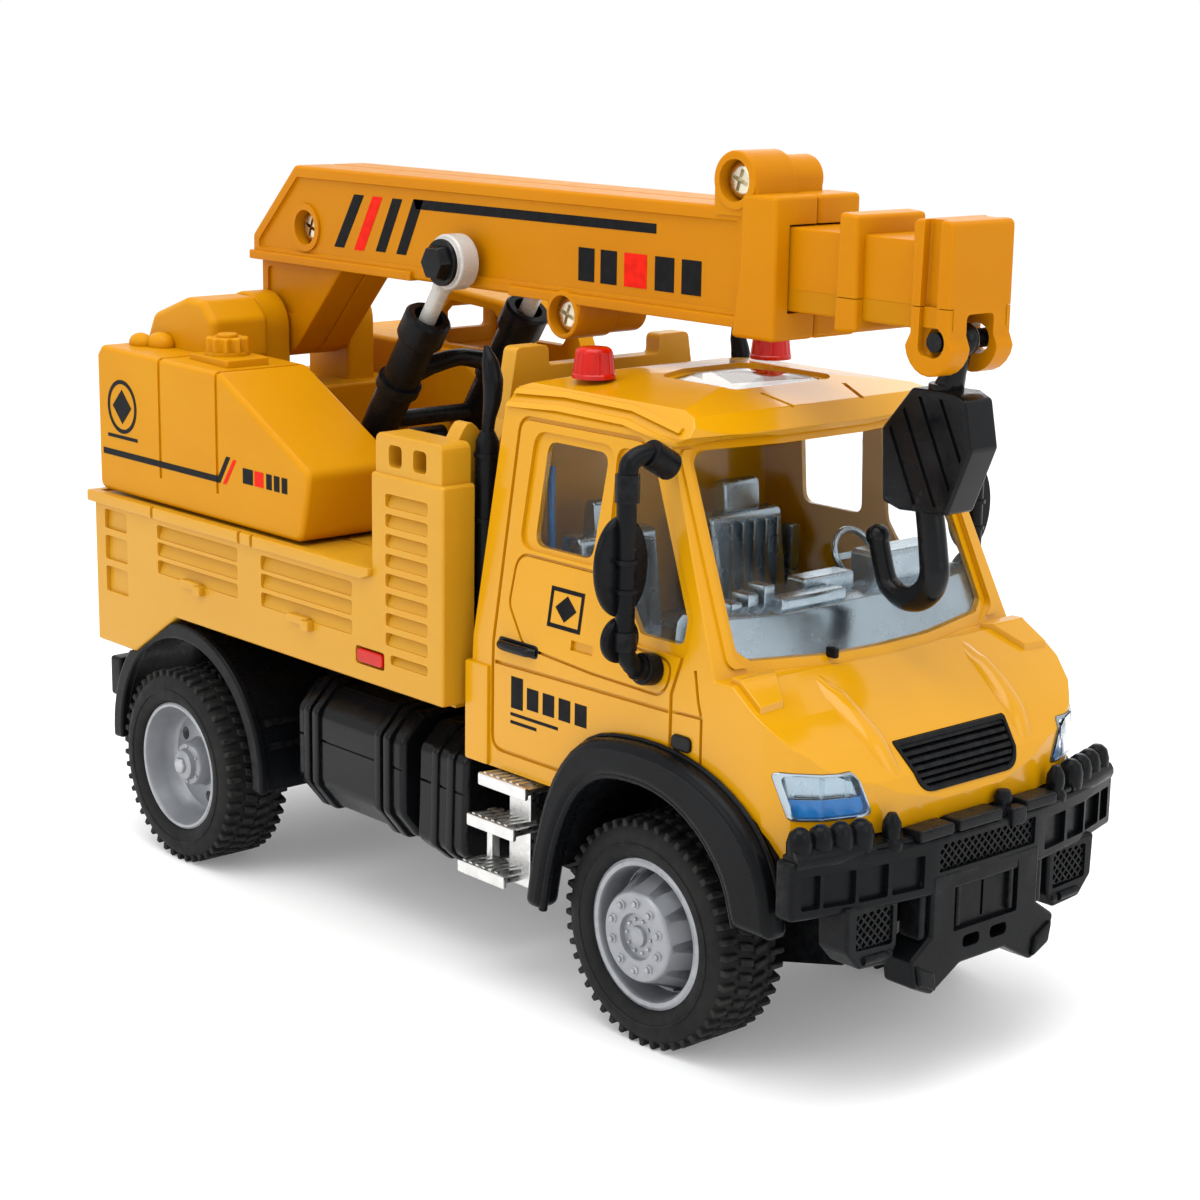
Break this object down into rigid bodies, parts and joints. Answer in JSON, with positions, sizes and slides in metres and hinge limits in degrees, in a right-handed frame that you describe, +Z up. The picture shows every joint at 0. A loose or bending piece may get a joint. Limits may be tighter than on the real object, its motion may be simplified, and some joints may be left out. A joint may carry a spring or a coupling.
{
  "type": "toy crane truck",
  "caption": "Toy truck with a forward-control cab, a load bed, a slewing crane turret, a luffing telescopic boom with a swinging hook, and rolling wheels.",
  "frame": {"origin": "on the ground under the middle of the truck's bounding box", "axes": "+X points forward along the truck, +Y to the truck's left, +Z up"},
  "size_m": [0.148, 0.0676, 0.1047],
  "materials": {
    "yellow_paint": "glossy yellow paint on die-cast metal",
    "yellow_plastic": "satin moulded plastic",
    "black_plastic": "satin moulded plastic",
    "tyre": "matt soft plastic with a knobbed tread",
    "rim": "silver moulded plastic",
    "steel": "zinc-plated steel",
    "silver_plastic": "silver painted plastic",
    "chromed_plastic": "vacuum-plated plastic",
    "clear_plastic": "clear moulded plastic",
    "red_plastic": "clear red moulded plastic",
    "grey_plastic": "light grey moulded plastic",
    "circuit_green": "green solder mask"
  },
  "bodies": {
    "truck": {"chassis_frame": "black_plastic", "pullback_motor_case": "black_plastic", "battery_cover": "black_plastic", "button_cells": "steel", "circuit_board": "circuit_green", "speaker": "silver_plastic", "front_fender_right": "black_plastic", "front_fender_left": "black_plastic", "rear_fender_right": "black_plastic", "rear_fender_left": "black_plastic", "front_bumper": "black_plastic", "rear_bumper": "black_plastic", "side_tank_right": "black_plastic", "side_tank_left": "black_plastic", "front_tank_right": "black_plastic", "front_tank_left": "black_plastic", "steps_right": "chromed_plastic", "steps_left": "chromed_plastic", "exhaust_stack_right": "black_plastic", "exhaust_stack_left": "black_plastic", "cab_shell": "yellow_paint", "window_glass": "clear_plastic", "cab_interior": "silver_plastic", "radiator_grille": "black_plastic", "headlight_right": "clear_plastic", "headlight_left": "clear_plastic", "beacon_right": "red_plastic", "beacon_left": "red_plastic", "mirror_right": "black_plastic", "mirror_left": "black_plastic", "bed_body": "yellow_plastic", "marker_lamp_right": "red_plastic", "marker_lamp_left": "red_plastic"},
    "front_wheels": {"front_axle": "steel", "front_tyre_right": "tyre", "front_tyre_left": "tyre", "front_rim_right": "rim", "front_rim_left": "rim"},
    "rear_wheels": {"rear_axle": "steel", "rear_tyre_right": "tyre", "rear_tyre_left": "tyre", "rear_rim_right": "rim", "rear_rim_left": "rim", "axle_gear": "black_plastic"},
    "turret": {"turret_house": "yellow_plastic", "turret_base_plate": "black_plastic", "slew_retainer": "black_plastic", "boom_pivot_pin": "steel"},
    "boom": {"boom_half_right": "yellow_plastic", "boom_half_left": "yellow_plastic", "boom_screw_1": "steel", "boom_screw_2": "steel", "boom_screw_3": "steel", "luff_pin_cap_right": "black_plastic", "luff_pin_cap_left": "black_plastic"},
    "boom_extension": {"inner_boom": "yellow_plastic"},
    "hook": {"hook_block": "black_plastic"},
    "barrels": {"cylinder_barrels": "black_plastic"},
    "rods": {"cylinder_rod_right": "grey_plastic", "cylinder_rod_left": "grey_plastic"}
  },
  "joints": [
    {"name": "front_wheel_spin", "type": "hinge", "parent": "truck", "child": "front_wheels", "pos_m": [0.043, 0, 0.014], "axis": [0, 1, 0], "continuous": true},
    {"name": "rear_wheel_spin", "type": "hinge", "parent": "truck", "child": "rear_wheels", "pos_m": [-0.0496, 0, 0.014], "axis": [0, 1, 0], "continuous": true},
    {"name": "turret_slew", "type": "hinge", "parent": "truck", "child": "turret", "pos_m": [-0.047, 0, 0.0508], "axis": [0, 0, 1], "continuous": true},
    {"name": "boom_luff", "type": "hinge", "parent": "turret", "child": "boom", "pos_m": [-0.0615, 0, 0.0744], "axis": [0, -1, 0], "range_deg": [0, 30]},
    {"name": "cylinder_tilt", "type": "hinge", "parent": "turret", "child": "barrels", "pos_m": [-0.0319, 0, 0.061], "axis": [0, -1, 0], "range_deg": [0, 29.2]},
    {"name": "rod_swing", "type": "hinge", "parent": "boom", "child": "rods", "pos_m": [-0.0137, 0, 0.0877], "axis": [0, -1, 0], "range_deg": [-1, 0]},
    {"name": "boom_extend", "type": "slide", "parent": "boom", "child": "boom_extension", "axis": [1, 0, 0], "range_m": [0, 0.027]},
    {"name": "hook_swing", "type": "hinge", "parent": "boom_extension", "child": "hook", "pos_m": [0.0666, 0, 0.0852], "axis": [0, 1, 0], "range_deg": [-60, 3]}
  ],
  "couplings": [
    {"joint": "cylinder_tilt", "follows": "boom_luff", "ratio": 0.97},
    {"joint": "rod_swing", "follows": "boom_luff", "ratio": -0.03}
  ]
}
